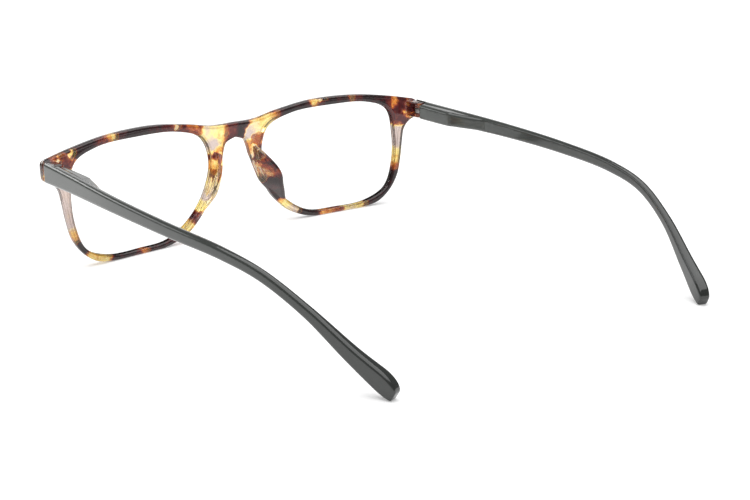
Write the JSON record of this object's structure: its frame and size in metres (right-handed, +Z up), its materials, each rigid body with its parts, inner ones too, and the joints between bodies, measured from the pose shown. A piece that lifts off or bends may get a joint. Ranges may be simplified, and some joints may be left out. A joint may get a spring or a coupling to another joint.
{
  "type": "folding reading glasses",
  "caption": "folding reading glasses with a tortoiseshell front, clear lenses and smoke temples on sprung hinges",
  "frame": {"origin": "middle of the bottom of the whole object's box, on the surface that the open glasses stand on", "axes": "+Y from the front back along the temples, +X towards the wearer's left, +Z up, across the lenses"},
  "size_m": [0.142, 0.1472, 0.038],
  "materials": {
    "tortoise": "polished translucent tortoiseshell plastic",
    "smoke": "polished translucent smoke plastic",
    "lens": "clear, polished",
    "steel": "fine turned and milled",
    "spring_steel": "drawn wire"
  },
  "bodies": {
    "front": {"front_frame": "tortoise", "lens_left": "lens", "lens_right": "lens", "hinge_screw_left": "steel", "hinge_screw_right": "steel", "hinge_nut_left": "steel", "hinge_nut_right": "steel"},
    "slider_left": {"hinge_slider_left": "steel", "rod_collar_left": "steel"},
    "slider_right": {"hinge_slider_right": "steel", "rod_collar_right": "steel"},
    "temple_left": {"temple_left": "smoke", "spring_housing_left": "steel", "coil_spring_left": "spring_steel"},
    "temple_right": {"temple_right": "smoke", "spring_housing_right": "steel", "coil_spring_right": "spring_steel"}
  },
  "joints": [
    {"name": "fold_left", "type": "hinge", "parent": "front", "child": "slider_left", "pos_m": [0.0661, -0.06149, 0.0309], "axis": [0, 0, 1], "range_deg": [-2.5, 86]},
    {"name": "spring_travel_left", "type": "slide", "parent": "slider_left", "child": "temple_left", "axis": [0, 1, 0], "range_m": [0, 0.0015], "stiffness_N_per_m": 2600, "springref_m": -0.0015, "deforming": ["coil_spring_left"]},
    {"name": "fold_right", "type": "hinge", "parent": "front", "child": "slider_right", "pos_m": [-0.0661, -0.06149, 0.0309], "axis": [0, 0, -1], "range_deg": [-2.5, 81]},
    {"name": "spring_travel_right", "type": "slide", "parent": "slider_right", "child": "temple_right", "axis": [0, 1, 0], "range_m": [0, 0.0015], "stiffness_N_per_m": 2600, "springref_m": -0.0015, "deforming": ["coil_spring_right"]}
  ]
}
